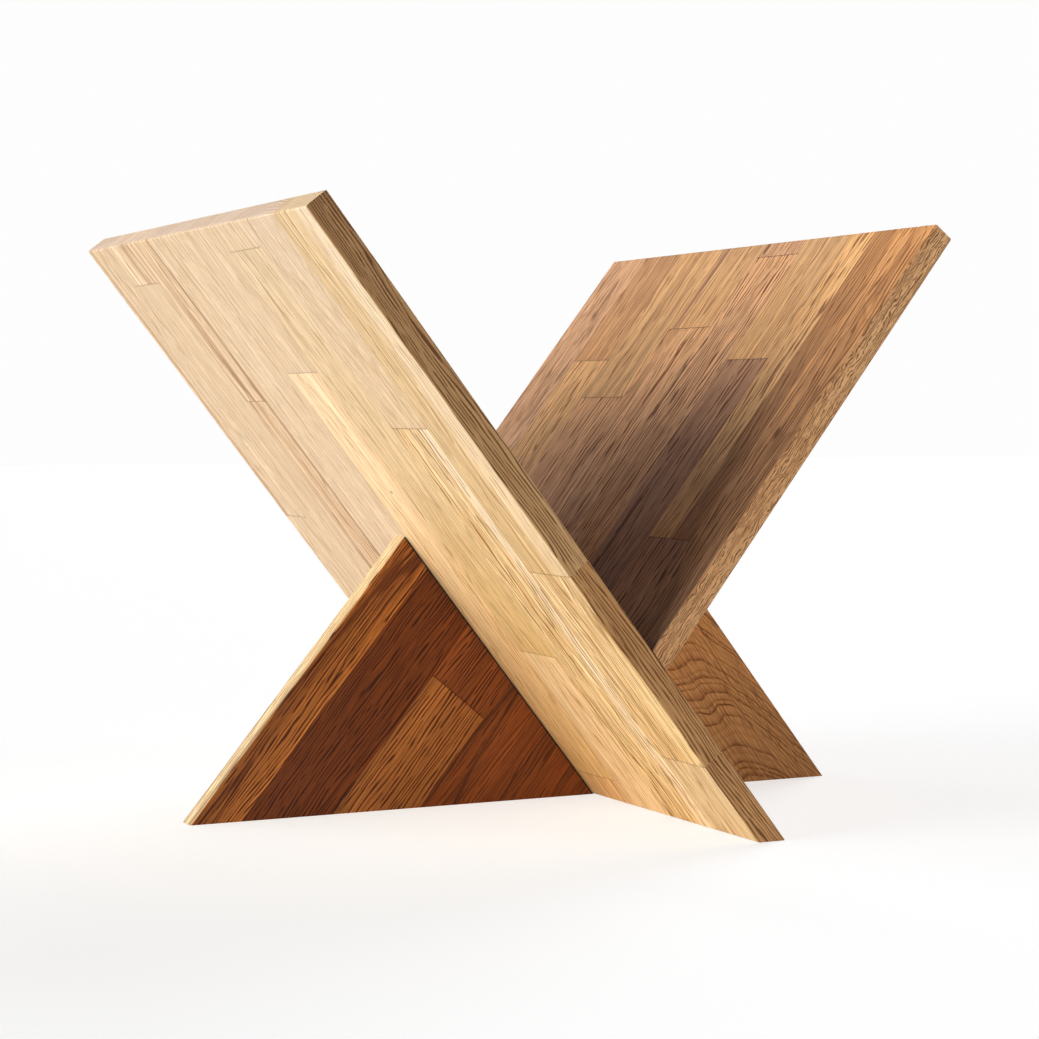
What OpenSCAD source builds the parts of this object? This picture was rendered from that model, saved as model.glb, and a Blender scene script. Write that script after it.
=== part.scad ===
// X-shaped stand of edge-glued oak boards.
// Two full-depth panels form a V-shaped cradle: the long panel leans from the top left down to the
// floor, and the short panel ends on the long panel's upper face. Two flat legs stand upright at
// mid-depth, one on each side of the long panel. Every board is glued up from staves, and each stave
// is a piece of its own. Dowels hold the boards together.
// +X is to the right, +Y to the back, +Z up. The origin is on the floor, under the middle.

/* [Overall] */
// Depth of the panels, front to back
depth = 480; // [400:1:560]
// Thickness of every board
board = 18; // [15:0.5:22]
// Radius of the eased edges
ease = 1.5; // [0.5:0.1:3]

/* [Panels] */
// Angle of both panels from the floor
lean = 52; // [48:0.5:56]
// Length of the long panel along its lower face
long_len = 543; // [530:1:570]
// Where the long panel's lower face meets the floor, right of the middle
long_foot_x = 60; // [50:1:80]
// Length of the short panel's upper face, carried on down to the floor
short_len = 550; // [545:1:580]
// From the long panel's foot to where the short panel's upper face would meet the floor
short_offset = 192; // [175:1:210]
// Bevel on the slanted ends of the panels
end_bevel = 1; // [0.5:0.1:2]

/* [Legs] */
// Left leg's toe, left of the middle
left_toe_x = -271; // [-290:0.5:-250]
// Right leg's toe, right of the middle
right_toe_x = 273.7; // [250:0.1:290]
// Angle of the left leg's free edge from the floor
left_leg_lean = 50.5; // [48:0.5:53]
// Front face of both legs, behind the middle plane
leg_front_y = 2; // [-6:0.5:8]

/* [Dowels] */
// Radius of a dowel
dowel_r = 4; // [3:0.5:4]
// Length of a dowel inside the panel that it is set square into
dowel_in_panel = 12; // [9:0.5:12]
// Length of a dowel inside the board that butts on the panel
dowel_in_board = 26; // [18:1:30]
// Room around a dowel in its hole
dowel_play = 0.1; // [0.05:0.05:0.2]
// Room beyond each end of a dowel
dowel_end_play = 1; // [0.5:0.5:1.5]

/* [Hidden] */
$fn = 48;

// Stave rows of the panels, as widths from the front edge that are scaled to fill the depth
long_rows = scaled_to([60, 60, 60, 60, 85, 45, 60, 50], depth);
short_rows = scaled_to([45, 60, 60, 60, 65, 70, 60, 60], depth);

// Stave rows of the legs, as widths from the free edge. The last one is cut where the leg ends.
left_leg_rows = [30, 55, 55, 60, 100];
right_leg_rows = [75, 100];

// Butt joints in each row, as distances along the board from its floor line
long_butts = [[70, 240], [365], [155, 520], [25, 415], [], [390], [505], [270]];
short_butts = [[], [265], [430], [535], [465], [395], [435], []];
left_leg_butts = [[], [], [200], [], []];
right_leg_butts = [[], []];

// Places of the dowels
short_dowel_y = [-160, -40, 40, 160];
left_leg_dowel_s = [34, 108, 182];
right_leg_dowel_s = [10, 77];
right_leg_top_dowel_s = [215, 285];

// Wood tones
pale_oak = "#ecc892";
golden_oak = "#dcab6c";
tan_oak = "#b98550";
brown_oak = "#8a5b38";
dark_oak = "#6b3f22";
beech = "#d9b48a";

// Larger than any board, for cutting
reach = 900;

short_floor_x = long_foot_x - short_offset;
leg_mid_y = leg_front_y + board / 2;

// Where row r of a board starts, counted from its first edge
function row_start(rows, r) = r == 0 ? 0 : rows[r - 1] + row_start(rows, r - 1);

// Row widths in the same proportions that fill the given width
function scaled_to(rows, width) = [for (row = rows) row * width / row_start(rows, len(rows))];

// Ends of piece k in a row that butt joints divide, from the lowest piece up
function piece_ends(butts, k) = [
    k == 0 ? -reach / 2 : butts[k - 1],
    k == len(butts) ? reach : butts[k]
];

// ---------------------------------------------------------------- board frames
// A board is drawn lying down: X across it, Y along its grain, Z through its thickness.

// Long panel: X to the back, Y up the slope to the left, Z up out of its upper face
module long_frame() {
    translate([long_foot_x, 0, 0])
        rotate([0, lean, 0])
            rotate([0, 0, 90])
                children();
}

// Short panel: X to the back, Y up the slope to the right, Z down out of its lower face
module short_frame() {
    translate([short_floor_x, 0, 0])
        rotate([0, 180 - lean, 0])
            rotate([0, 0, 90])
                children();
}

// Upright board: X to the right, Y up, Z to the front, its front face at leg_front_y
module leg_frame() {
    translate([0, leg_front_y + board, 0])
        rotate([90, 0, 0])
            children();
}

// ---------------------------------------------------------------- board shapes

// Half of space at the left of a line along X, one board thick, with its two arrises eased
module eased_half() {
    translate([-reach, 0, 0])
        rotate([90, 0, 90])
            linear_extrude(2 * reach) {
                translate([ease, 0])
                    square([reach, board]);
                translate([0, ease])
                    square([reach, board - 2 * ease]);
                for (z = [ease, board - ease])
                    translate([ease, z])
                        circle(ease);
            }
}

// One board with straight eased edges. Each edge is a point on it and its direction in degrees,
// with the wood at its left.
module eased_board(edges) {
    intersection_for (e = edges)
        translate([e[0], e[1], 0])
            rotate([0, 0, e[2]])
                eased_half();
}

// Panel with a square top end at length top and a slanted lower end. The lower end is at foot on the
// face at Z = 0 and at foot + run on the other face.
module panel(top, foot, run) {
    slope = run / board;
    intersection() {
        eased_board([[-depth / 2, 0, -90], [depth / 2, 0, 90], [0, top, 180]]);
        translate([-reach / 2, 0, 0])
            rotate([90, 0, 90])
                linear_extrude(reach)
                    polygon([
                        [foot + end_bevel, 0],
                        [foot + slope * end_bevel, end_bevel],
                        [foot + slope * (board - end_bevel), board - end_bevel],
                        [foot + run + end_bevel, board],
                        [reach, board],
                        [reach, 0]
                    ]);
    }
}

module long_panel() {
    panel(long_len, 0, -board / tan(lean));
}

module short_panel() {
    foot = (board + short_offset * sin(lean)) / sin(2 * lean);
    panel(short_len, foot, board * cos(2 * lean) / sin(2 * lean));
}

// Triangle between the floor, the free edge at the left and the long panel's lower face
module left_leg() {
    eased_board([
        [left_toe_x, 0, 180 + left_leg_lean],
        [long_foot_x, 0, 180 - lean]
    ]);
}

// Four-sided board between the floor, the long panel's upper face, the short panel's lower face and
// its own free edge at the right
module right_leg() {
    eased_board([
        [right_toe_x, 0, 180 - lean],
        [long_foot_x + board / sin(lean), 0, -lean],
        [short_floor_x + board / sin(lean), 0, 180 + lean]
    ]);
}

// Everything above the floor
module above_floor() {
    translate([-reach / 2, -reach / 2, 0])
        cube(reach);
}

// ---------------------------------------------------------------- dowels

// A dowel along Z: in_panel of it below Z = 0, in_board of it above. It grows by play all round and
// by end_play at both ends to make its hole.
module dowel(play = 0, end_play = 0) {
    translate([0, 0, -dowel_in_panel - end_play])
        cylinder(r = dowel_r + play, h = dowel_in_panel + dowel_in_board + 2 * end_play);
}

// Places of the dowels. Each child lies along Z at the joint, with its board at +Z.
module at_short_panel_dowels() {
    joint_s = (board + short_offset * sin(lean) + board / 2 * cos(2 * lean)) / sin(2 * lean);
    short_frame()
        for (y = short_dowel_y)
            translate([y, joint_s, board / 2])
                rotate([-90, 0, 0])
                    children();
}

module at_left_leg_dowels() {
    long_frame()
        for (s = left_leg_dowel_s)
            translate([leg_mid_y, s, 0])
                rotate([180, 0, 0])
                    children();
}

module at_right_leg_dowels() {
    long_frame()
        for (s = right_leg_dowel_s)
            translate([leg_mid_y, s, board])
                children();
}

module at_right_leg_top_dowels() {
    short_frame()
        for (s = right_leg_top_dowel_s)
            translate([leg_mid_y, s, board])
                children();
}

// ---------------------------------------------------------------- staves

// Piece k of row r of a panel, in the panel's frame
module stave_block(rows, butts, r, k) {
    ends = piece_ends(butts[r], k);
    translate([row_start(rows, r), ends[0], -board])
        cube([rows[r], ends[1] - ends[0], 3 * board]);
}

module long_stave(r, k) {
    difference() {
        long_frame()
            intersection() {
                long_panel();
                translate([-depth / 2, 0, 0])
                    stave_block(long_rows, long_butts, r - 1, k - 1);
            }
        at_short_panel_dowels()
            dowel(dowel_play, dowel_end_play);
        at_left_leg_dowels()
            dowel(dowel_play, dowel_end_play);
        at_right_leg_dowels()
            dowel(dowel_play, dowel_end_play);
    }
}

module short_stave(r, k) {
    difference() {
        short_frame()
            intersection() {
                short_panel();
                translate([-depth / 2, 0, 0])
                    stave_block(short_rows, short_butts, r - 1, k - 1);
            }
        at_short_panel_dowels()
            dowel(dowel_play, dowel_end_play);
        at_right_leg_top_dowels()
            dowel(dowel_play, dowel_end_play);
    }
}

// The left leg's staves run along its free edge, and its rows count from there
module left_leg_stave(r, k) {
    difference() {
        intersection() {
            leg_frame()
                left_leg();
            leg_frame()
                translate([left_toe_x, 0, 0])
                    rotate([0, 0, left_leg_lean - 90])
                        stave_block(left_leg_rows, left_leg_butts, r - 1, k - 1);
            above_floor();
        }
        at_left_leg_dowels()
            dowel(dowel_play, dowel_end_play);
    }
}

// The right leg's staves run along its free edge, and its rows count from there
module right_leg_stave(r, k) {
    difference() {
        intersection() {
            leg_frame()
                right_leg();
            leg_frame()
                translate([right_toe_x, 0, 0])
                    rotate([0, 0, 90 - lean])
                        mirror([1, 0, 0])
                            stave_block(right_leg_rows, right_leg_butts, r - 1, k - 1);
            above_floor();
        }
        at_right_leg_dowels()
            dowel(dowel_play, dowel_end_play);
        at_right_leg_top_dowels()
            dowel(dowel_play, dowel_end_play);
    }
}

// ---------------------------------------------------------------- sub-parts

module long_stave_1a() { color(golden_oak) long_stave(1, 1); }
module long_stave_1b() { color(pale_oak) long_stave(1, 2); }
module long_stave_1c() { color(golden_oak) long_stave(1, 3); }
module long_stave_2a() { color(golden_oak) long_stave(2, 1); }
module long_stave_2b() { color(pale_oak) long_stave(2, 2); }
module long_stave_3a() { color(pale_oak) long_stave(3, 1); }
module long_stave_3b() { color(golden_oak) long_stave(3, 2); }
module long_stave_3c() { color(pale_oak) long_stave(3, 3); }
module long_stave_4a() { color(golden_oak) long_stave(4, 1); }
module long_stave_4b() { color(pale_oak) long_stave(4, 2); }
module long_stave_4c() { color(golden_oak) long_stave(4, 3); }
module long_stave_5() { color(pale_oak) long_stave(5, 1); }
module long_stave_6a() { color(golden_oak) long_stave(6, 1); }
module long_stave_6b() { color(pale_oak) long_stave(6, 2); }
module long_stave_7a() { color(pale_oak) long_stave(7, 1); }
module long_stave_7b() { color(golden_oak) long_stave(7, 2); }
module long_stave_8a() { color(golden_oak) long_stave(8, 1); }
module long_stave_8b() { color(pale_oak) long_stave(8, 2); }

module short_stave_1() { color(tan_oak) short_stave(1, 1); }
module short_stave_2a() { color(brown_oak) short_stave(2, 1); }
module short_stave_2b() { color(golden_oak) short_stave(2, 2); }
module short_stave_3a() { color(brown_oak) short_stave(3, 1); }
module short_stave_3b() { color(tan_oak) short_stave(3, 2); }
module short_stave_4a() { color(tan_oak) short_stave(4, 1); }
module short_stave_4b() { color(golden_oak) short_stave(4, 2); }
module short_stave_5a() { color(tan_oak) short_stave(5, 1); }
module short_stave_5b() { color(golden_oak) short_stave(5, 2); }
module short_stave_6a() { color(brown_oak) short_stave(6, 1); }
module short_stave_6b() { color(tan_oak) short_stave(6, 2); }
module short_stave_7a() { color(golden_oak) short_stave(7, 1); }
module short_stave_7b() { color(tan_oak) short_stave(7, 2); }
module short_stave_8() { color(tan_oak) short_stave(8, 1); }

module left_leg_stave_1() { color(brown_oak) left_leg_stave(1, 1); }
module left_leg_stave_2() { color(dark_oak) left_leg_stave(2, 1); }
module left_leg_stave_3a() { color(brown_oak) left_leg_stave(3, 1); }
module left_leg_stave_3b() { color(dark_oak) left_leg_stave(3, 2); }
module left_leg_stave_4() { color(brown_oak) left_leg_stave(4, 1); }
module left_leg_stave_5() { color(brown_oak) left_leg_stave(5, 1); }

module right_leg_stave_1() { color(tan_oak) right_leg_stave(1, 1); }
module right_leg_stave_2() { color(brown_oak) right_leg_stave(2, 1); }

module short_panel_dowels() { color(beech) at_short_panel_dowels() dowel(); }
module left_leg_dowels() { color(beech) at_left_leg_dowels() dowel(); }
module right_leg_dowels() { color(beech) at_right_leg_dowels() dowel(); }
module right_leg_top_dowels() { color(beech) at_right_leg_top_dowels() dowel(); }

long_stave_1a();
long_stave_1b();
long_stave_1c();
long_stave_2a();
long_stave_2b();
long_stave_3a();
long_stave_3b();
long_stave_3c();
long_stave_4a();
long_stave_4b();
long_stave_4c();
long_stave_5();
long_stave_6a();
long_stave_6b();
long_stave_7a();
long_stave_7b();
long_stave_8a();
long_stave_8b();
short_stave_1();
short_stave_2a();
short_stave_2b();
short_stave_3a();
short_stave_3b();
short_stave_4a();
short_stave_4b();
short_stave_5a();
short_stave_5b();
short_stave_6a();
short_stave_6b();
short_stave_7a();
short_stave_7b();
short_stave_8();
left_leg_stave_1();
left_leg_stave_2();
left_leg_stave_3a();
left_leg_stave_3b();
left_leg_stave_4();
left_leg_stave_5();
right_leg_stave_1();
right_leg_stave_2();
short_panel_dowels();
left_leg_dowels();
right_leg_dowels();
right_leg_top_dowels();
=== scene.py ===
import random
from math import cos, radians, sin

import bpy
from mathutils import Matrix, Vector


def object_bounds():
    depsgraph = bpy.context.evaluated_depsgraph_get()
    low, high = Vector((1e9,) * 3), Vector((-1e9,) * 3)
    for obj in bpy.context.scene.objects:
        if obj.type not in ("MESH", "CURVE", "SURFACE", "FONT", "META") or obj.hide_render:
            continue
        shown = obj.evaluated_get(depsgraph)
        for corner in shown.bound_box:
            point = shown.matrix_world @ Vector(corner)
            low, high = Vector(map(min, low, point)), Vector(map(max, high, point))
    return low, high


# An X-shaped stand of edge-glued oak boards on a pale floor. The frame's nodes are the staves and
# the dowels. Every stave keeps its CAD shape and gets its own piece of procedural oak: growth rings
# round a pith, pores, rays and streaks, all in three dimensions, so that faces, edges and end
# grain belong together.

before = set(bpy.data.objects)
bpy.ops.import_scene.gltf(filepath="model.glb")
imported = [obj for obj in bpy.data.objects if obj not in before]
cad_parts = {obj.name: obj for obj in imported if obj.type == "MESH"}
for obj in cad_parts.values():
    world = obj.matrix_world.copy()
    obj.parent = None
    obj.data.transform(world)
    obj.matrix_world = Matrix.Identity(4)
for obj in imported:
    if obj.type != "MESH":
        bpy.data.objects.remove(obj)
cad_low, cad_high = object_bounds()
centre = (cad_low + cad_high) / 2

MM = 0.001


# ------------------------------------------------------------------ node trees

class Tree:
    """Short calls for the shader nodes used here. A value is a socket or a constant."""

    def __init__(self, tree):
        self.tree = tree

    def put(self, socket, value):
        if isinstance(value, bpy.types.NodeSocket):
            self.tree.links.new(value, socket)
        else:
            socket.default_value = value

    def node(self, kind, **settings):
        made = self.tree.nodes.new(kind)
        for name, value in settings.items():
            setattr(made, name, value)
        return made

    def math(self, operation, a, b=0.0, c=0.0, clamp=False):
        made = self.node("ShaderNodeMath", operation=operation, use_clamp=clamp)
        for socket, value in zip(made.inputs, (a, b, c)):
            self.put(socket, value)
        return made.outputs[0]

    def dot(self, a, b):
        made = self.node("ShaderNodeVectorMath", operation="DOT_PRODUCT")
        self.put(made.inputs[0], a)
        self.put(made.inputs[1], b)
        return made.outputs["Value"]

    def vector(self, operation, a, b):
        made = self.node("ShaderNodeVectorMath", operation=operation)
        self.put(made.inputs[0], a)
        self.put(made.inputs[1], b)
        return made.outputs["Vector"]

    def combine(self, x, y, z):
        made = self.node("ShaderNodeCombineXYZ")
        for socket, value in zip(made.inputs, (x, y, z)):
            self.put(socket, value)
        return made.outputs[0]

    def separate(self, vector):
        made = self.node("ShaderNodeSeparateXYZ")
        self.put(made.inputs[0], vector)
        return made.outputs

    def noise(self, vector, detail=2.0, roughness=0.5):
        """Noise from 0 to 1 with a period of 1, about 0.5 on average."""
        made = self.node("ShaderNodeTexNoise")
        self.put(made.inputs["Vector"], vector)
        self.put(made.inputs["Scale"], 1.0)
        self.put(made.inputs["Detail"], detail)
        self.put(made.inputs["Roughness"], roughness)
        return made.outputs["Fac"]

    def ramp(self, value, low, high, to_low=0.0, to_high=1.0):
        """to_low up to low, to_high from high, and a smooth step between them."""
        made = self.node("ShaderNodeMapRange", interpolation_type="SMOOTHSTEP")
        for name, number in (("Value", value), ("From Min", low), ("From Max", high),
                             ("To Min", to_low), ("To Max", to_high)):
            self.put(made.inputs[name], number)
        return made.outputs["Result"]

    def mix(self, factor, a, b, blend="MIX"):
        made = self.node("ShaderNodeMix", data_type="RGBA", blend_type=blend)
        self.put(made.inputs["Factor"], factor)
        self.put(made.inputs["A"], a)
        self.put(made.inputs["B"], b)
        return made.outputs["Result"]


def linear(hex_colour):
    """An sRGB colour such as #d8b080 as the linear RGBA that shader sockets take."""
    bytes_ = [int(hex_colour[i:i + 2], 16) / 255 for i in (1, 3, 5)]
    return tuple(v / 12.92 if v <= 0.04045 else ((v + 0.055) / 1.055) ** 2.4 for v in bytes_) + (1.0,)


# ------------------------------------------------------------------ oak

# What a colour is multiplied by: on the dark grain of narrow sides, in pores, on the crests
# between pores as a painted highlight, on end grain and in glue lines
SIDE_SHADE = (0.60, 0.46, 0.34, 1.0)
DEEP_SHADE = (0.42, 0.34, 0.26, 1.0)
CREST_HIGHLIGHT = (1.7, 1.6, 1.45, 1.0)
END_TINT = (0.94, 0.93, 1.06, 1.0)
GLUE_SHADE = (0.42, 0.30, 0.20, 1.0)
# Colours of their own: ray flakes, the pin knot and the painted shade of an open joint
FLAKE = (1.0, 0.86, 0.62, 1.0)
KNOT = (0.09, 0.03, 0.01, 1.0)
JOINT_SHADE = (0.010, 0.006, 0.004, 1.0)
# No wood is paler than this
PALEST = (0.96, 0.96, 0.96)
# Grooves a metre across the grain, and how far the bend shifts them, in grooves
GROOVES = 370.0
GROOVE_BEND = 7.0

OAK_INPUTS = {
    # directions of the board that the stave belongs to, in the row frame
    "Across": "NodeSocketVector",
    "Along": "NodeSocketVector",
    "Through": "NodeSocketVector",
    # middle and half size of the stave, across, along and through the board
    "Middle": "NodeSocketVector",
    "Half": "NodeSocketVector",
    # the tree that the stave came from
    "Pith": "NodeSocketVector",
    "Tilt": "NodeSocketVector",
    "Ring": "NodeSocketFloat",
    "Wave": "NodeSocketFloat",
    "Seed": "NodeSocketFloat",
    # tones of the broad faces, the narrow sides and one band along the grain
    "Light": "NodeSocketColor",
    "Dark": "NodeSocketColor",
    "Side": "NodeSocketColor",
    "Band": "NodeSocketColor",
    "Band from": "NodeSocketFloat",
    "Band to": "NodeSocketFloat",
    # how fine the grain looks across the board, and how strongly each feature shows
    "Fineness": "NodeSocketFloat",
    "Rings": "NodeSocketFloat",
    "Pores": "NodeSocketFloat",
    "Flecks": "NodeSocketFloat",
    "Rays": "NodeSocketFloat",
    "Flakes": "NodeSocketFloat",
    "Streaks": "NodeSocketFloat",
    "Veins": "NodeSocketFloat",
    "Lines": "NodeSocketFloat",
    "Dashes": "NodeSocketFloat",
    # how much paler the high end is than the low end, a painted shade: red, green and blue shares
    "Fade": "NodeSocketVector",
    "Side shade fade": "NodeSocketVector",
    "Knot": "NodeSocketVector",
    # the face that the stave butts against: the way towards it, and how far that is from the
    # origin; painted shade of an open joint shows just before it
    "Joint": "NodeSocketVector",
    "Joint at": "NodeSocketFloat",
}


def oak_group():
    """The node group that all the staves share. It gives colour, roughness and height."""
    group = bpy.data.node_groups.new("oak", "ShaderNodeTree")
    for name, kind in OAK_INPUTS.items():
        group.interface.new_socket(name=name, in_out="INPUT", socket_type=kind)
    for name, kind in (("Color", "NodeSocketColor"), ("Roughness", "NodeSocketFloat"),
                       ("Height", "NodeSocketFloat")):
        group.interface.new_socket(name=name, in_out="OUTPUT", socket_type=kind)
    t = Tree(group)
    given = t.node("NodeGroupInput").outputs
    place = t.node("ShaderNodeTexCoord").outputs["Object"]

    # Place in the stave, in metres: across it, along its grain and through it
    board = t.combine(t.dot(place, given["Across"]), t.dot(place, given["Along"]),
                      t.dot(place, given["Through"]))
    inside = t.vector("SUBTRACT", board, given["Middle"])
    across, along, through = t.separate(inside)
    seed = given["Seed"]

    def wood_noise(per_across, per_along, shift, detail=2.0, roughness=0.5, sideways=across):
        """Noise stretched along the grain, with so many periods a metre across and along it."""
        return t.noise(t.combine(
            t.math("MULTIPLY_ADD", sideways, per_across, seed),
            t.math("MULTIPLY_ADD", along, per_along, shift),
            t.math("MULTIPLY_ADD", through, per_across, shift)), detail, roughness)

    def grain_noise(per_across, per_along, shift, detail=1.0, roughness=0.5):
        """The same, as fine across the board as the stave's fineness says."""
        return wood_noise(per_across, per_along, shift, detail, roughness,
                          t.math("MULTIPLY", across, given["Fineness"]))

    # Growth rings round a pith that leans a little away from the grain, and wavers
    waver = t.math("SUBTRACT", wood_noise(14.0, 3.5, 3.1), 0.5)
    ripple = t.math("SUBTRACT", wood_noise(60.0, 22.0, 7.7), 0.5)
    sway = t.math("MULTIPLY", t.math("MULTIPLY_ADD", ripple, 0.22, waver), given["Wave"])
    pith = t.separate(given["Pith"])
    tilt = t.separate(given["Tilt"])
    from_pith_a = t.math("SUBTRACT", t.math("SUBTRACT", across, pith[0]),
                         t.math("MULTIPLY", along, tilt[0]))
    from_pith_w = t.math("SUBTRACT", t.math("SUBTRACT", through, pith[2]),
                         t.math("MULTIPLY", along, tilt[2]))
    radius = t.math("SQRT", t.math("ADD", t.math("MULTIPLY", from_pith_a, from_pith_a),
                                   t.math("MULTIPLY", from_pith_w, from_pith_w)))
    radius = t.math("ADD", radius, sway)
    years = t.math("DIVIDE", radius, given["Ring"])
    uneven = t.noise(t.combine(t.math("MULTIPLY_ADD", years, 0.45, seed), seed, 0.0), 1.0)
    years = t.math("MULTIPLY_ADD", uneven, 2.2, years)
    year = t.math("FRACT", years)
    rich = t.noise(t.combine(t.math("MULTIPLY_ADD", years, 0.9, seed), seed, 4.4), 0.0)
    early = t.math("MULTIPLY", t.ramp(year, 0.0, 0.12), t.ramp(year, 0.16, 0.75, 1.0, 0.0))
    early = t.math("MULTIPLY", early, t.ramp(rich, 0.32, 0.66, 0.25, 1.0))
    line_peak = t.math("MULTIPLY", t.ramp(year, 0.0, 0.08), t.ramp(year, 0.14, 0.40, 1.0, 0.0))
    line_peak = t.math("MULTIPLY", line_peak, t.ramp(rich, 0.30, 0.60, 0.15, 1.0))

    # Rays: thin sheets that run out from the pith. They show as short dark dashes where a face
    # cuts across them, and as pale flakes where it runs along them.
    angle = t.math("ARCTAN2", from_pith_w, from_pith_a)
    reach = t.math("SQRT", t.math("ADD", t.math("MULTIPLY", pith[0], pith[0]),
                                  t.math("MULTIPLY", pith[2], pith[2])))
    sideways = t.math("MULTIPLY", angle, reach)
    sheets = t.noise(t.combine(t.math("MULTIPLY_ADD", sideways, 480.0, seed),
                               t.math("MULTIPLY", along, 60.0),
                               t.math("MULTIPLY", radius, 50.0)), 1.0, 0.4)
    rays = t.ramp(sheets, 0.57, 0.70)
    flakes = t.noise(t.combine(t.math("MULTIPLY_ADD", sideways, 210.0, seed),
                               t.math("MULTIPLY_ADD", radius, 42.0, t.math("MULTIPLY", along, 95.0)),
                               t.math("MULTIPLY", along, 70.0)), 2.0, 0.5)
    flakes = t.ramp(flakes, 0.56, 0.66)

    # Pores: fine grooves side by side along the grain, broken into dashes, and closer together in
    # the early wood. On the board's narrow sides they may be short coarse flecks instead.
    normal = t.node("ShaderNodeNewGeometry").outputs["Normal"]
    on_side = t.ramp(t.math("ABSOLUTE", t.dot(normal, given["Across"])), 0.55, 0.85)
    bend = wood_noise(55.0, 6.5, 19.1, 3.0)
    comb = t.math("MULTIPLY_ADD", across, given["Fineness"], t.math("MULTIPLY", through, 1.2))
    comb = t.math("MULTIPLY_ADD", comb, GROOVES, t.math("MULTIPLY", bend, GROOVE_BEND))
    groove = t.math("ABSOLUTE", t.math("SUBTRACT", t.math("FRACT", comb), 0.5))
    crest = t.ramp(groove, 0.34, 0.48)
    groove = t.ramp(groove, 0.08, 0.25, 1.0, 0.0)
    short = t.ramp(grain_noise(400.0, 44.0, 6.1), 0.41, 0.50)
    long = t.ramp(grain_noise(240.0, 5.0, 8.8), 0.44, 0.54)
    broken = t.ramp(grain_noise(500.0, 42.0, 1.7), 0.42, 0.50)
    lines = t.math("MULTIPLY", groove, long)
    dashes = t.math("MULTIPLY", t.math("MULTIPLY", groove, short), given["Dashes"])
    pores = t.math("MAXIMUM", dashes,
                   t.math("MULTIPLY", t.math("MULTIPLY", line_peak, broken), given["Rings"]))
    wriggle = t.math("MULTIPLY_ADD", wood_noise(150.0, 75.0, 2.9, 2.0), 4.0,
                     t.math("MULTIPLY", comb, 1.35))
    wriggle = t.math("ABSOLUTE", t.math("SUBTRACT", t.math("FRACT", wriggle), 0.5))
    fleck = t.math("MULTIPLY", t.ramp(wriggle, 0.12, 0.30, 1.0, 0.0),
                   t.ramp(wood_noise(600.0, 120.0, 4.4, 2.0, 0.6), 0.40, 0.52))
    on_coarse = t.math("MULTIPLY", on_side, given["Flecks"])
    pores = t.math("ADD", t.math("MULTIPLY", pores, t.math("SUBTRACT", 1.0, on_coarse)),
                   t.math("MULTIPLY", fleck, on_coarse))
    fibres = grain_noise(430.0, 7.0, 5.3, 2.0, 0.6)
    # Crests between the pores, lightened further down as a painted highlight, as if lit from the side
    ridge_highlights = t.math("MULTIPLY", t.math("MULTIPLY", crest, short), t.math("SUBTRACT", 1.0, on_coarse))
    streaks = wood_noise(75.0, 1.5, 9.4, 3.0, 0.6)
    vein = t.math("ABSOLUTE", t.math("SUBTRACT", wood_noise(36.0, 1.6, 12.3, 1.0), 0.5))
    veins = t.math("MAXIMUM", t.ramp(vein, 0.006, 0.022, 1.0, 0.0),
                   t.ramp(vein, 0.015, 0.085, 0.45, 0.0))
    clouds = wood_noise(20.0, 7.0, 2.2, 2.0)

    # Tone: 0 is the light colour, 1 the dark one
    tone = t.math("MULTIPLY", early, given["Rings"])
    tone = t.math("MULTIPLY_ADD", t.math("SUBTRACT", fibres, 0.5), 0.9, tone)
    tone = t.math("MULTIPLY_ADD", lines, t.math("MULTIPLY_ADD", on_side, 0.4, given["Lines"]), tone)
    tone = t.math("MULTIPLY_ADD", t.math("SUBTRACT", streaks, 0.48), given["Streaks"], tone)
    tone = t.math("MULTIPLY_ADD", t.math("SUBTRACT", clouds, 0.5), 0.15, tone)
    tone = t.math("ADD", tone, 0.24, clamp=True)
    side_dark = t.mix(1.0, given["Side"], SIDE_SHADE, "MULTIPLY")
    colour = t.mix(tone, t.mix(on_side, given["Light"], given["Side"]),
                   t.mix(on_side, given["Dark"], side_dark))

    # Heart or sap wood: a band of another tone, with a wandering edge along the grain
    edge = t.math("MULTIPLY_ADD", waver, 0.012, across)
    in_band = t.math("MULTIPLY",
                     t.ramp(t.math("SUBTRACT", edge, given["Band from"]), -0.0007, 0.0007),
                     t.ramp(t.math("SUBTRACT", given["Band to"], edge), -0.0007, 0.0007))
    in_band = t.math("MULTIPLY", in_band, t.math("SUBTRACT", 1.0, on_side))
    banded = t.mix(t.math("MULTIPLY", tone, 0.5), given["Band"], given["Dark"])
    colour = t.mix(t.math("MULTIPLY", in_band, 0.85), colour, banded)

    # Flakes lighten and crests between pores get a painted highlight; veins, pores and rays darken
    deep = t.mix(1.0, t.mix(on_side, given["Dark"], side_dark), DEEP_SHADE, "MULTIPLY")
    colour = t.mix(t.math("MULTIPLY", veins, given["Veins"], clamp=True), colour,
                   t.mix(0.55, given["Dark"], deep))
    colour = t.mix(t.math("MULTIPLY", flakes, given["Flakes"], clamp=True), colour,
                   t.mix(0.55, colour, FLAKE))
    colour = t.mix(t.math("MULTIPLY", ridge_highlights, t.math("MULTIPLY", given["Pores"], 0.5)), colour,
                   t.mix(1.0, colour, CREST_HIGHLIGHT, "MULTIPLY"))
    pore_depth = t.math("MAXIMUM", given["Pores"], t.math("MULTIPLY", on_side, 0.9))
    colour = t.mix(t.math("MULTIPLY", pores, pore_depth, clamp=True), colour, deep)
    colour = t.mix(t.math("MULTIPLY", rays, given["Rays"], clamp=True), colour, deep)
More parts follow.
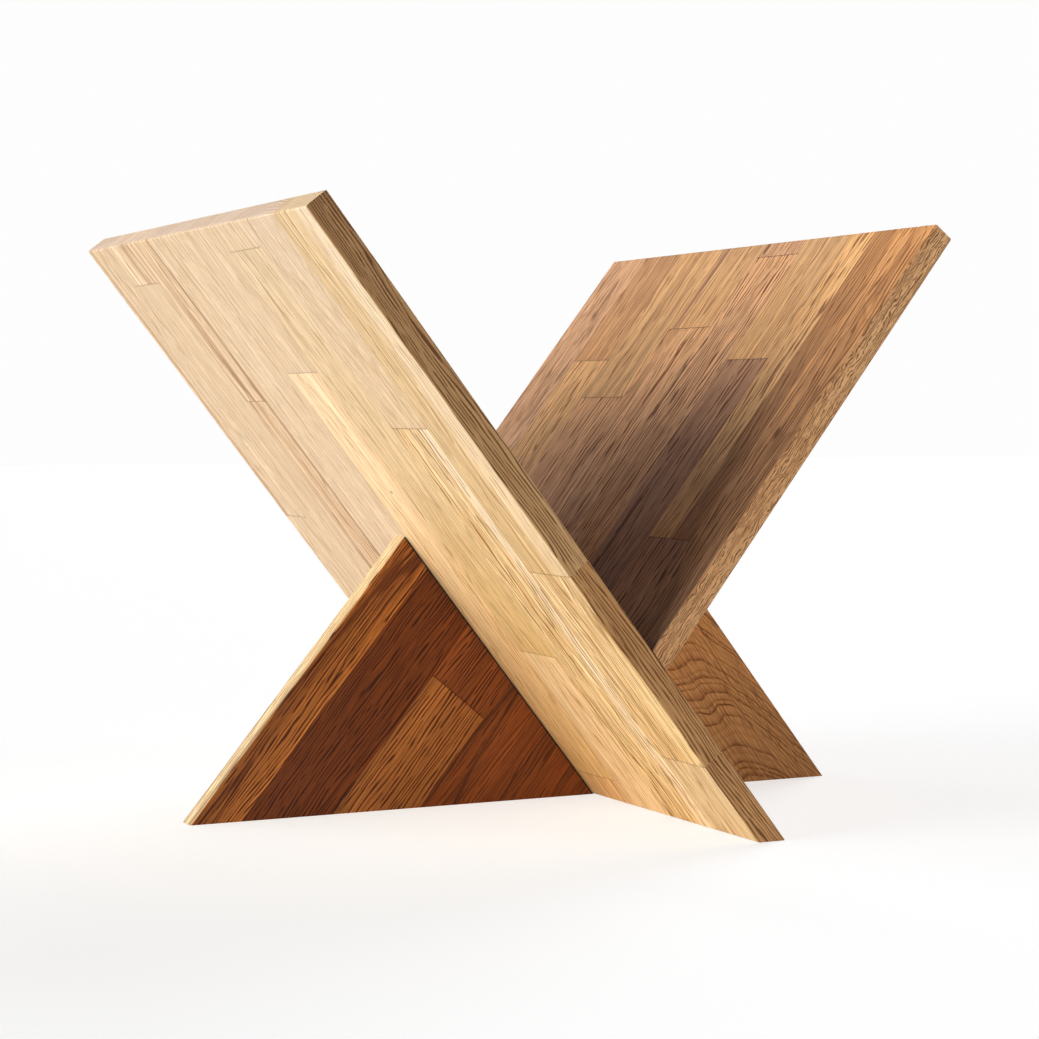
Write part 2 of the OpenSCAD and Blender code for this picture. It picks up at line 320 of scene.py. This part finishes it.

    # Painted shade: most staves are darker towards their lower end, and those with a fade below zero
    # towards their upper end; this stands in for the shade that falls low between the boards
    rise = t.math("DIVIDE", along, t.separate(given["Half"])[1])
    shares = zip(t.separate(given["Fade"]), t.separate(given["Side shade fade"]))
    shares = [t.math("MULTIPLY_ADD", on_side, t.math("SUBTRACT", side_share, share), share)
              for share, side_share in shares]
    colour = t.vector("MULTIPLY", colour, t.combine(
        *(t.math("MULTIPLY_ADD", rise, share, 1.0) for share in shares)))
    colour = t.vector("MINIMUM", colour, PALEST)

    # A pin knot
    away = t.node("ShaderNodeVectorMath", operation="DISTANCE")
    t.put(away.inputs[0], inside)
    t.put(away.inputs[1], given["Knot"])
    knot = t.ramp(away.outputs["Value"], 0.0008, 0.0022, 1.0, 0.0)
    colour = t.mix(t.math("MULTIPLY", knot, 0.75), colour, KNOT)

    # End grain is a little pinker, and shows the rings as arcs
    end = t.ramp(t.math("ABSOLUTE", t.dot(normal, given["Along"])), 0.75, 0.95)
    arcs = t.mix(t.math("MULTIPLY", early, 0.9), given["Light"], given["Dark"])
    colour = t.mix(t.math("MULTIPLY", end, 0.85), colour,
                   t.mix(1.0, arcs, END_TINT, "MULTIPLY"))

    # Glue lines: a hair of dark wood at the stave's own sides and butt ends
    half = t.separate(given["Half"])
    to_side = t.math("SUBTRACT", half[0], t.math("ABSOLUTE", across))
    to_butt = t.math("SUBTRACT", half[1], t.math("ABSOLUTE", along))
    side_line = t.ramp(to_side, 0.0001, 0.0006, 0.30, 0.0)
    butt_line = t.math("MULTIPLY", t.ramp(to_butt, 0.0002, 0.0009, 1.0, 0.0),
                       t.math("MULTIPLY_ADD", given["Pores"], 0.6, 0.25))
    glue = t.math("MULTIPLY", t.math("MAXIMUM", side_line, butt_line),
                  t.math("SUBTRACT", 1.0, t.math("MAXIMUM", end, on_side)))
    colour = t.mix(glue, colour, t.mix(1.0, colour, GLUE_SHADE, "MULTIPLY"))

    # Painted shade of an open joint: near black just before the board that the stave butts against
    to_joint = t.math("SUBTRACT", given["Joint at"], t.dot(place, given["Joint"]))
    joint_shade = t.math("MULTIPLY", t.ramp(to_joint, 0.0009, 0.0017, 0.92, 0.0),
                 t.math("SUBTRACT", 1.0, on_side))
    colour = t.mix(joint_shade, colour, JOINT_SHADE)

    # Pores and end grain are rougher
    sheen = t.math("MULTIPLY_ADD", fibres, 0.16, 0.42)
    sheen = t.math("MULTIPLY_ADD", pores, 0.20, sheen)
    rough = t.math("MULTIPLY_ADD", end, 0.15, sheen, clamp=True)

    # Height for the bump: fibres stand up; pores, long lines and glue lines lie deeper
    height = t.math("MULTIPLY_ADD", pores, -0.9, t.math("MULTIPLY", fibres, 0.3))
    height = t.math("MULTIPLY_ADD", lines, -0.3, height)
    height = t.math("MULTIPLY_ADD", glue, -1.2, height)

    out = t.node("NodeGroupOutput")
    t.put(out.inputs["Color"], colour)
    t.put(out.inputs["Roughness"], rough)
    t.put(out.inputs["Height"], height)
    return group


OAK = oak_group()


def oak_material(name, values):
    """One stave's own material: the oak group with this stave's values, on one shader."""
    material = bpy.data.materials.new(name)
    material.use_nodes = True
    material.node_tree.nodes.clear()
    t = Tree(material.node_tree)
    oak = t.node("ShaderNodeGroup", node_tree=OAK)
    for socket, value in values.items():
        oak.inputs[socket].default_value = value
    bump = t.node("ShaderNodeBump")
    t.put(bump.inputs["Strength"], 0.6)
    t.put(bump.inputs["Distance"], 0.0006)
    t.put(bump.inputs["Height"], oak.outputs["Height"])
    shader = t.node("ShaderNodeBsdfPrincipled")
    t.put(shader.inputs["Base Color"], oak.outputs["Color"])
    t.put(shader.inputs["Roughness"], oak.outputs["Roughness"])
    t.put(shader.inputs["Normal"], bump.outputs["Normal"])
    t.put(shader.inputs["IOR"], 1.45)
    t.put(t.node("ShaderNodeOutputMaterial").inputs["Surface"], shader.outputs["BSDF"])
    return material


# ------------------------------------------------------------------ boards

LEAN = radians(52)
LEFT_LEG_LEAN = radians(50.5)
BACK = Vector((0, 1, 0))

# Each board's directions: across its staves, along its grain and through its thickness
BOARDS = {
    "long_stave": (BACK, Vector((-cos(LEAN), 0, sin(LEAN))), Vector((sin(LEAN), 0, cos(LEAN)))),
    "short_stave": (BACK, Vector((cos(LEAN), 0, sin(LEAN))), Vector((sin(LEAN), 0, -cos(LEAN)))),
    "left_leg_stave": (
        Vector((sin(LEFT_LEG_LEAN), 0, -cos(LEFT_LEG_LEAN))),
        Vector((cos(LEFT_LEG_LEAN), 0, sin(LEFT_LEG_LEAN))),
        BACK,
    ),
    "right_leg_stave": (
        Vector((-sin(LEAN), 0, -cos(LEAN))),
        Vector((-cos(LEAN), 0, sin(LEAN))),
        BACK,
    ),
}

# The long panel's two faces: the way towards each from the board that butts against it, and how
# far that face is from the origin. The panel's foot stands 60 mm right of the middle.
FOOT = Vector((60 * MM, 0, 0))
THICKNESS = 18 * MM
LONG_THROUGH = BOARDS["long_stave"][2]
UNDER_LONG = FOOT.dot(LONG_THROUGH)
# These faces place the painted shade of the open joint on the left leg and the short panel
JOINTS = {"left_leg_stave": (LONG_THROUGH, UNDER_LONG),
          "short_stave": (-LONG_THROUGH, -(UNDER_LONG + THICKNESS))}
NO_JOINT = (BACK, 1.0)

# Pith places for the three ways of sawing, across and through the stave from its middle
SAWN = {
    "quarter": (0.150, 0.030),
    "rift": (0.085, 0.075),
    "flat": (0.012, 0.070),
}

# How much red, green and blue darken along a stave in its painted shade: GOLD on the long
# panel's broad faces, BROWN on the other boards' and GREY on narrow sides
GOLD = Vector((0.0, 0.27, 1.0))
BROWN = Vector((1.0, 0.85, 0.35))
GREY = Vector((0.7, 0.9, 1.1))

# Oak tones: the wood between the grain lines, and the grain lines themselves
CREAM = {"light": "#e8d0b0", "dark": "#c09868"}
SAND = {"light": "#ecd0a0", "dark": "#c09460"}
STRAW = {"light": "#f8dca8", "dark": "#c89450"}
BUTTER = {"light": "#fcdca8", "dark": "#d8a468"}
GOLDEN = {"light": "#fcd090", "dark": "#d09050"}
BLONDE = {"light": "#f4dcb8", "dark": "#b88858"}
TAN = {"light": "#e0b088", "dark": "#a87850"}
HONEY = {"light": "#ecbc84", "dark": "#b48054"}
TOFFEE = {"light": "#d4a070", "dark": "#a07048"}
UMBER = {"light": "#b08870", "dark": "#886048"}
AMBER = {"light": "#e09040", "dark": "#804014"}
RUSSET = {"light": "#d08844", "dark": "#885024"}
CINNAMON = {"light": "#b06028", "dark": "#703c18"}
MAHOGANY = {"light": "#904814", "dark": "#603008"}
CARAMEL = {"light": "#d89c54", "dark": "#b07438"}

# What every stave has unless its board or the stave itself says otherwise. Rings are in
# millimetres, bands and knots in metres from the stave's middle.
PLAIN = {
    **SAND, "side": "#e0b074", "band": "#f8e0bc",
    "sawn": "rift", "ring": 2.4, "wave": 0.010, "tilt": 0.012,
    "band_from": 1.0, "band_to": 1.0, "rings": 0.25, "pores": 0.45, "flecks": 0.0, "rays": 0.10,
    "flakes": 0.0, "streaks": 0.5, "veins": 0.0, "lines": 0.3, "dashes": 1.0,
    "shade_tint": BROWN, "fade": 0.0, "side_fade": 0.0, "fineness": 1.0,
    "knot": (0, 0, 1),
}
BOARD_LOOKS = {
    "long_stave": {"shade_tint": GOLD, "fineness": 0.6, "pores": 0.3, "lines": 0.4},
    "short_stave": {**HONEY, "side": "#fccc94", "band": "#a07048", "pores": 0.85,
                    "fineness": 0.6, "flecks": 1.0},
    "left_leg_stave": {**RUSSET, "side": "#f0d4a4", "pores": 1.0, "streaks": 0.8},
    "right_leg_stave": {**CARAMEL, "side": "#d8b078", "pores": 0.8, "rays": 0.4},
}

STAVES = {
    # long panel, pale and golden
    "long_stave_1a": {**SAND, "sawn": "flat", "tilt": 0.06, "side_fade": -0.2},
    "long_stave_1b": {**STRAW, "pores": 0.5, "streaks": 1.2, "veins": 0.7, "lines": 0.6,
                      "fade": 0.1},
    "long_stave_1c": {**SAND, "sawn": "quarter", "side": "#cca470", "band_from": -0.031,
                      "band_to": -0.009, "rings": 0.4, "fade": 0.1, "side_fade": -0.3},
    "long_stave_2a": {**STRAW, "sawn": "quarter", "band_from": -0.031, "band_to": -0.014,
                      "rings": 0.4, "pores": 0.7, "lines": 0.7, "fade": 0.1},
    "long_stave_2b": {**CREAM, "sawn": "flat", "tilt": 0.07, "wave": 0.02, "pores": 0.2,
                      "flakes": 0.3, "lines": 0.25, "fade": 0.1},
    "long_stave_3a": {**BUTTER, "sawn": "flat", "tilt": 0.05},
    "long_stave_3b": {**SAND, "sawn": "quarter", "lines": 0.35, "fade": 0.3},
    "long_stave_3c": {**CREAM, "pores": 0.2, "lines": 0.25},
    "long_stave_4a": {**GOLDEN},
    "long_stave_4b": {**BUTTER, "rings": 0.15, "fade": 0.3, "knot": (-0.004, 0.085, -0.009)},
    "long_stave_4c": {**CREAM, "wave": 0.02, "pores": 0.2, "lines": 0.25},
    "long_stave_5": {**CREAM, "rings": 0.2, "pores": 0.2, "flakes": 0.25, "lines": 0.25},
    "long_stave_6a": {**BLONDE, "sawn": "quarter", "streaks": 1.2, "veins": 0.7},
    "long_stave_6b": {**BLONDE, "sawn": "quarter", "streaks": 1.2, "veins": 0.8},
    "long_stave_7a": {**CREAM, "rings": 0.2, "pores": 0.2, "lines": 0.25},
    "long_stave_7b": {**BLONDE, "sawn": "quarter", "streaks": 1.5, "veins": 0.6},
    "long_stave_8a": {**CREAM, "sawn": "flat", "tilt": 0.08},
    "long_stave_8b": {**CREAM, "sawn": "flat", "tilt": 0.05, "wave": 0.02, "band": "#c09870",
                      "band_from": 0.016, "band_to": 0.021, "flakes": 0.3},
    # short panel, tan and brown
    "short_stave_1": {**TOFFEE, "sawn": "flat", "tilt": 0.06, "streaks": 1.4, "veins": 0.6,
                      "fade": 0.4},
    "short_stave_2a": {**UMBER},
    "short_stave_2b": {**HONEY, "sawn": "quarter", "band_from": -0.031, "band_to": -0.004,
                       "streaks": 0.8, "fade": 0.2},
    "short_stave_3a": {**UMBER, "sawn": "flat", "streaks": 0.9, "fade": 0.4},
    "short_stave_3b": {**HONEY, "pores": 0.55, "fade": -0.1},
    "short_stave_4a": {**TAN, "sawn": "quarter", "rings": 0.5, "pores": 1.0, "fade": 0.2},
    "short_stave_4b": {**TAN},
    "short_stave_5a": {**TAN, "sawn": "quarter", "pores": 1.0, "streaks": 1.3, "veins": 0.6,
                       "fade": 0.3},
    "short_stave_5b": {**HONEY, "band": "#8c6454", "band_from": 0.022, "band_to": 0.027,
                       "pores": 0.55, "veins": 0.3, "fade": -0.1},
    "short_stave_6a": {**TAN, "sawn": "flat", "wave": 0.025, "fade": 0.2},
    "short_stave_6b": {**HONEY, "pores": 0.55, "streaks": 1.2, "veins": 0.6},
    "short_stave_7a": {**HONEY, "fade": 0.1},
    "short_stave_7b": {**TOFFEE, "pores": 0.55, "fade": -0.1},
    "short_stave_8": {**TAN, "sawn": "flat", "wave": 0.03, "pores": 0.55, "rays": 0.6},
    # left leg, red-brown
    "left_leg_stave_1": {**AMBER, "sawn": "quarter", "streaks": 1.6, "veins": 0.9},
    "left_leg_stave_2": {**MAHOGANY, "sawn": "quarter"},
    "left_leg_stave_3a": {**RUSSET},
    "left_leg_stave_3b": {**CINNAMON},
    "left_leg_stave_4": {**CINNAMON, "pores": 0.6, "streaks": 1.2, "veins": 0.9},
    "left_leg_stave_5": {**CINNAMON, "sawn": "flat", "pores": 0.6, "streaks": 1.0,
                         "veins": 0.7},
    # right leg, honey
    "right_leg_stave_1": {**CARAMEL, "sawn": "flat", "tilt": 0.25, "ring": 2.2, "wave": 0.02,
                          "rings": 1.0, "dashes": 0.35, "fade": 0.2},
    "right_leg_stave_2": {},
}


def stave_extent(node, directions):
    """Middle and half size of a stave along its board's three directions."""
    points = [v.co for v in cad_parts[node].data.vertices]
    low, high = [], []
    for direction in directions:
        heights = [p.dot(direction) for p in points]
        low.append(min(heights))
        high.append(max(heights))
    low, high = Vector(low), Vector(high)
    return (low + high) / 2, (high - low) / 2


def oak_values(look, directions, middle, half, joint, chance, seed):
    """The oak group's inputs for one stave."""
    side, depth = SAWN[look["sawn"]]
    side *= chance.choice((-1, 1)) * chance.uniform(0.8, 1.25)
    depth *= chance.choice((-1, 1)) * chance.uniform(0.8, 1.25)
    lean = look["tilt"] * chance.choice((-1, 1))
    values = dict(zip(("Across", "Along", "Through"), directions))
    values.update({
        "Middle": middle, "Half": half, "Seed": seed,
        "Pith": (side, 0, depth), "Tilt": (chance.uniform(-0.01, 0.01), 0, lean),
        "Ring": look["ring"] * MM, "Wave": look["wave"], "Knot": look["knot"],
        "Band from": look["band_from"], "Band to": look["band_to"],
        "Joint": joint[0], "Joint at": joint[1],
        "Fade": look["shade_tint"] * look["fade"], "Side shade fade": GREY * look["side_fade"],
    })
    for tone in ("light", "dark", "side", "band"):
        values[tone.capitalize()] = linear(look[tone])
    for feature in ("rings", "pores", "flecks", "rays", "flakes", "streaks", "veins", "lines",
                    "dashes", "fineness"):
        values[feature.capitalize()] = look[feature]
    return values


# How far apart the staves lie in the noise that they share
SEED_STEP = 17.0


def dress_stave(node, number):
    """Gives one stave its own piece of oak."""
    board = node[:node.index("stave") + len("stave")]
    directions = BOARDS[board]
    middle, half = stave_extent(node, directions)
    look = {**PLAIN, **BOARD_LOOKS[board], **STAVES[node]}
    joint = JOINTS.get(board, NO_JOINT)
    values = oak_values(look, directions, middle, half, joint, random.Random(node),
                        SEED_STEP * number)
    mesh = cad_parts[node].data
    mesh.materials.clear()
    mesh.materials.append(oak_material("oak_" + node, values))


def dress_dowels():
    """The beech dowels are hidden in the joints, so one plain beech serves for all."""
    look = {**PLAIN, "light": "#e2c39c", "dark": "#c39a6e", "ring": 2.0, "rays": 0.3}
    directions = (BACK, Vector((1, 0, 0)), Vector((0, 0, 1)))
    beech = oak_material("beech", oak_values(look, directions, Vector(), Vector((1, 1, 1)),
                                             NO_JOINT, random.Random("dowels"), 3.0))
    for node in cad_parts:
        if node.endswith("dowels"):
            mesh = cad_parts[node].data
            mesh.materials.clear()
            mesh.materials.append(beech)


for number, node in enumerate(sorted(STAVES)):
    dress_stave(node, number)
dress_dowels()


# ------------------------------------------------------------------ stage

# How bright the white studio looks, and how much of it lights the stand
STUDIO_WHITE = (0.985, 0.985, 0.985, 1)
STUDIO_FILL = (0.075, 0.082, 0.10, 1)
FLOOR_LIFT = (0.70, 0.69, 0.68, 1)
FLOOR_SEEN = (0.40, 0.42, 0.44, 1)
FLOOR_TONE = (0.86, 0.86, 0.86, 1)
NO_LIGHT = (0, 0, 0, 1)


def camera_only(t, seen, unseen):
    """One colour where the camera looks straight at a surface, another for all other light."""
    return t.mix(t.node("ShaderNodeLightPath").outputs["Is Camera Ray"], unseen, seen)


def make_floor(half_width):
    """A plain pale floor at the height that the stand rests on. It looks white and keeps its
    shadows, but throws no more light up at the stand than a dim studio floor would."""
    corners = [(-half_width, -half_width, 0), (half_width, -half_width, 0),
               (half_width, half_width, 0), (-half_width, half_width, 0)]
    mesh = bpy.data.meshes.new("floor")
    mesh.from_pydata(corners, [], [(0, 1, 2, 3)])
    material = bpy.data.materials.new("floor")
    material.use_nodes = True
    t = Tree(material.node_tree)
    shader = material.node_tree.nodes["Principled BSDF"]
    t.put(shader.inputs["Base Color"], camera_only(t, FLOOR_SEEN, FLOOR_TONE))
    shader.inputs["Roughness"].default_value = 0.9
    shader.inputs["Specular IOR Level"].default_value = 0.1
    shader.inputs["Emission Strength"].default_value = 1.0
    t.put(shader.inputs["Emission Color"], camera_only(t, FLOOR_LIFT, NO_LIGHT))
    mesh.materials.append(material)
    floor = bpy.data.objects.new("floor", mesh)
    bpy.context.scene.collection.objects.link(floor)


def soft_light(name, azimuth, elevation, width, power, colour=(1, 1, 1)):
    """Soft light from far away, and so the same all over the floor. Azimuth 0 is the front, -Y,
    and 90 the left, -X. Width is how wide the light looks from the stand, in degrees."""
    light = bpy.data.lights.new(name, "SUN")
    light.angle = radians(width)
    light.energy = power
    light.color = colour
    holder = bpy.data.objects.new(name, light)
    bpy.context.scene.collection.objects.link(holder)
    a, e = radians(azimuth), radians(elevation)
    toward = Vector((-sin(a) * cos(e), -cos(a) * cos(e), sin(e)))
    holder.location = centre + toward
    holder.rotation_mode = "QUATERNION"
    holder.rotation_quaternion = toward.to_track_quat("Z", "Y")


def make_world():
    """A white studio that the camera sees, and a little even fill."""
    world = bpy.data.worlds.new("world")
    bpy.context.scene.world = world
    world.use_nodes = True
    t = Tree(world.node_tree)
    background = world.node_tree.nodes["Background"]
    t.put(background.inputs["Color"], camera_only(t, STUDIO_WHITE, STUDIO_FILL))


def make_camera(azimuth, elevation, distance, lens, aim):
    """A camera that looks at aim: azimuth 0 looks along +Y, and grows to the right."""
    a, e = radians(azimuth), radians(elevation)
    back = Vector((-sin(a) * cos(e), -cos(a) * cos(e), sin(e)))
    camera = bpy.data.objects.new("camera", bpy.data.cameras.new("camera"))
    bpy.context.scene.collection.objects.link(camera)
    camera.data.lens = lens
    camera.data.clip_end = 100
    camera.location = aim + back * distance
    camera.rotation_mode = "QUATERNION"
    camera.rotation_quaternion = (-back).to_track_quat("-Z", "Y")
    bpy.context.scene.camera = camera


# What the camera looks at, from the middle of the stand
AIM = Vector((-0.0050, 0.0023, -0.0026))

make_floor(half_width=12)
make_world()
soft_light("key", azimuth=92, elevation=6, width=42, power=4.2, colour=(1.0, 0.98, 0.94))
soft_light("back_left", azimuth=135, elevation=6, width=40, power=1.9, colour=(0.96, 0.98, 1.0))
soft_light("back_right", azimuth=225, elevation=32, width=40, power=1.6)
soft_light("front_right", azimuth=315, elevation=6, width=40, power=1.5, colour=(1.0, 0.84, 0.66))
make_camera(azimuth=26.34, elevation=2.51, distance=1.864, lens=84.04,
            aim=centre + AIM)
bpy.context.scene.view_settings.view_transform = "Standard"
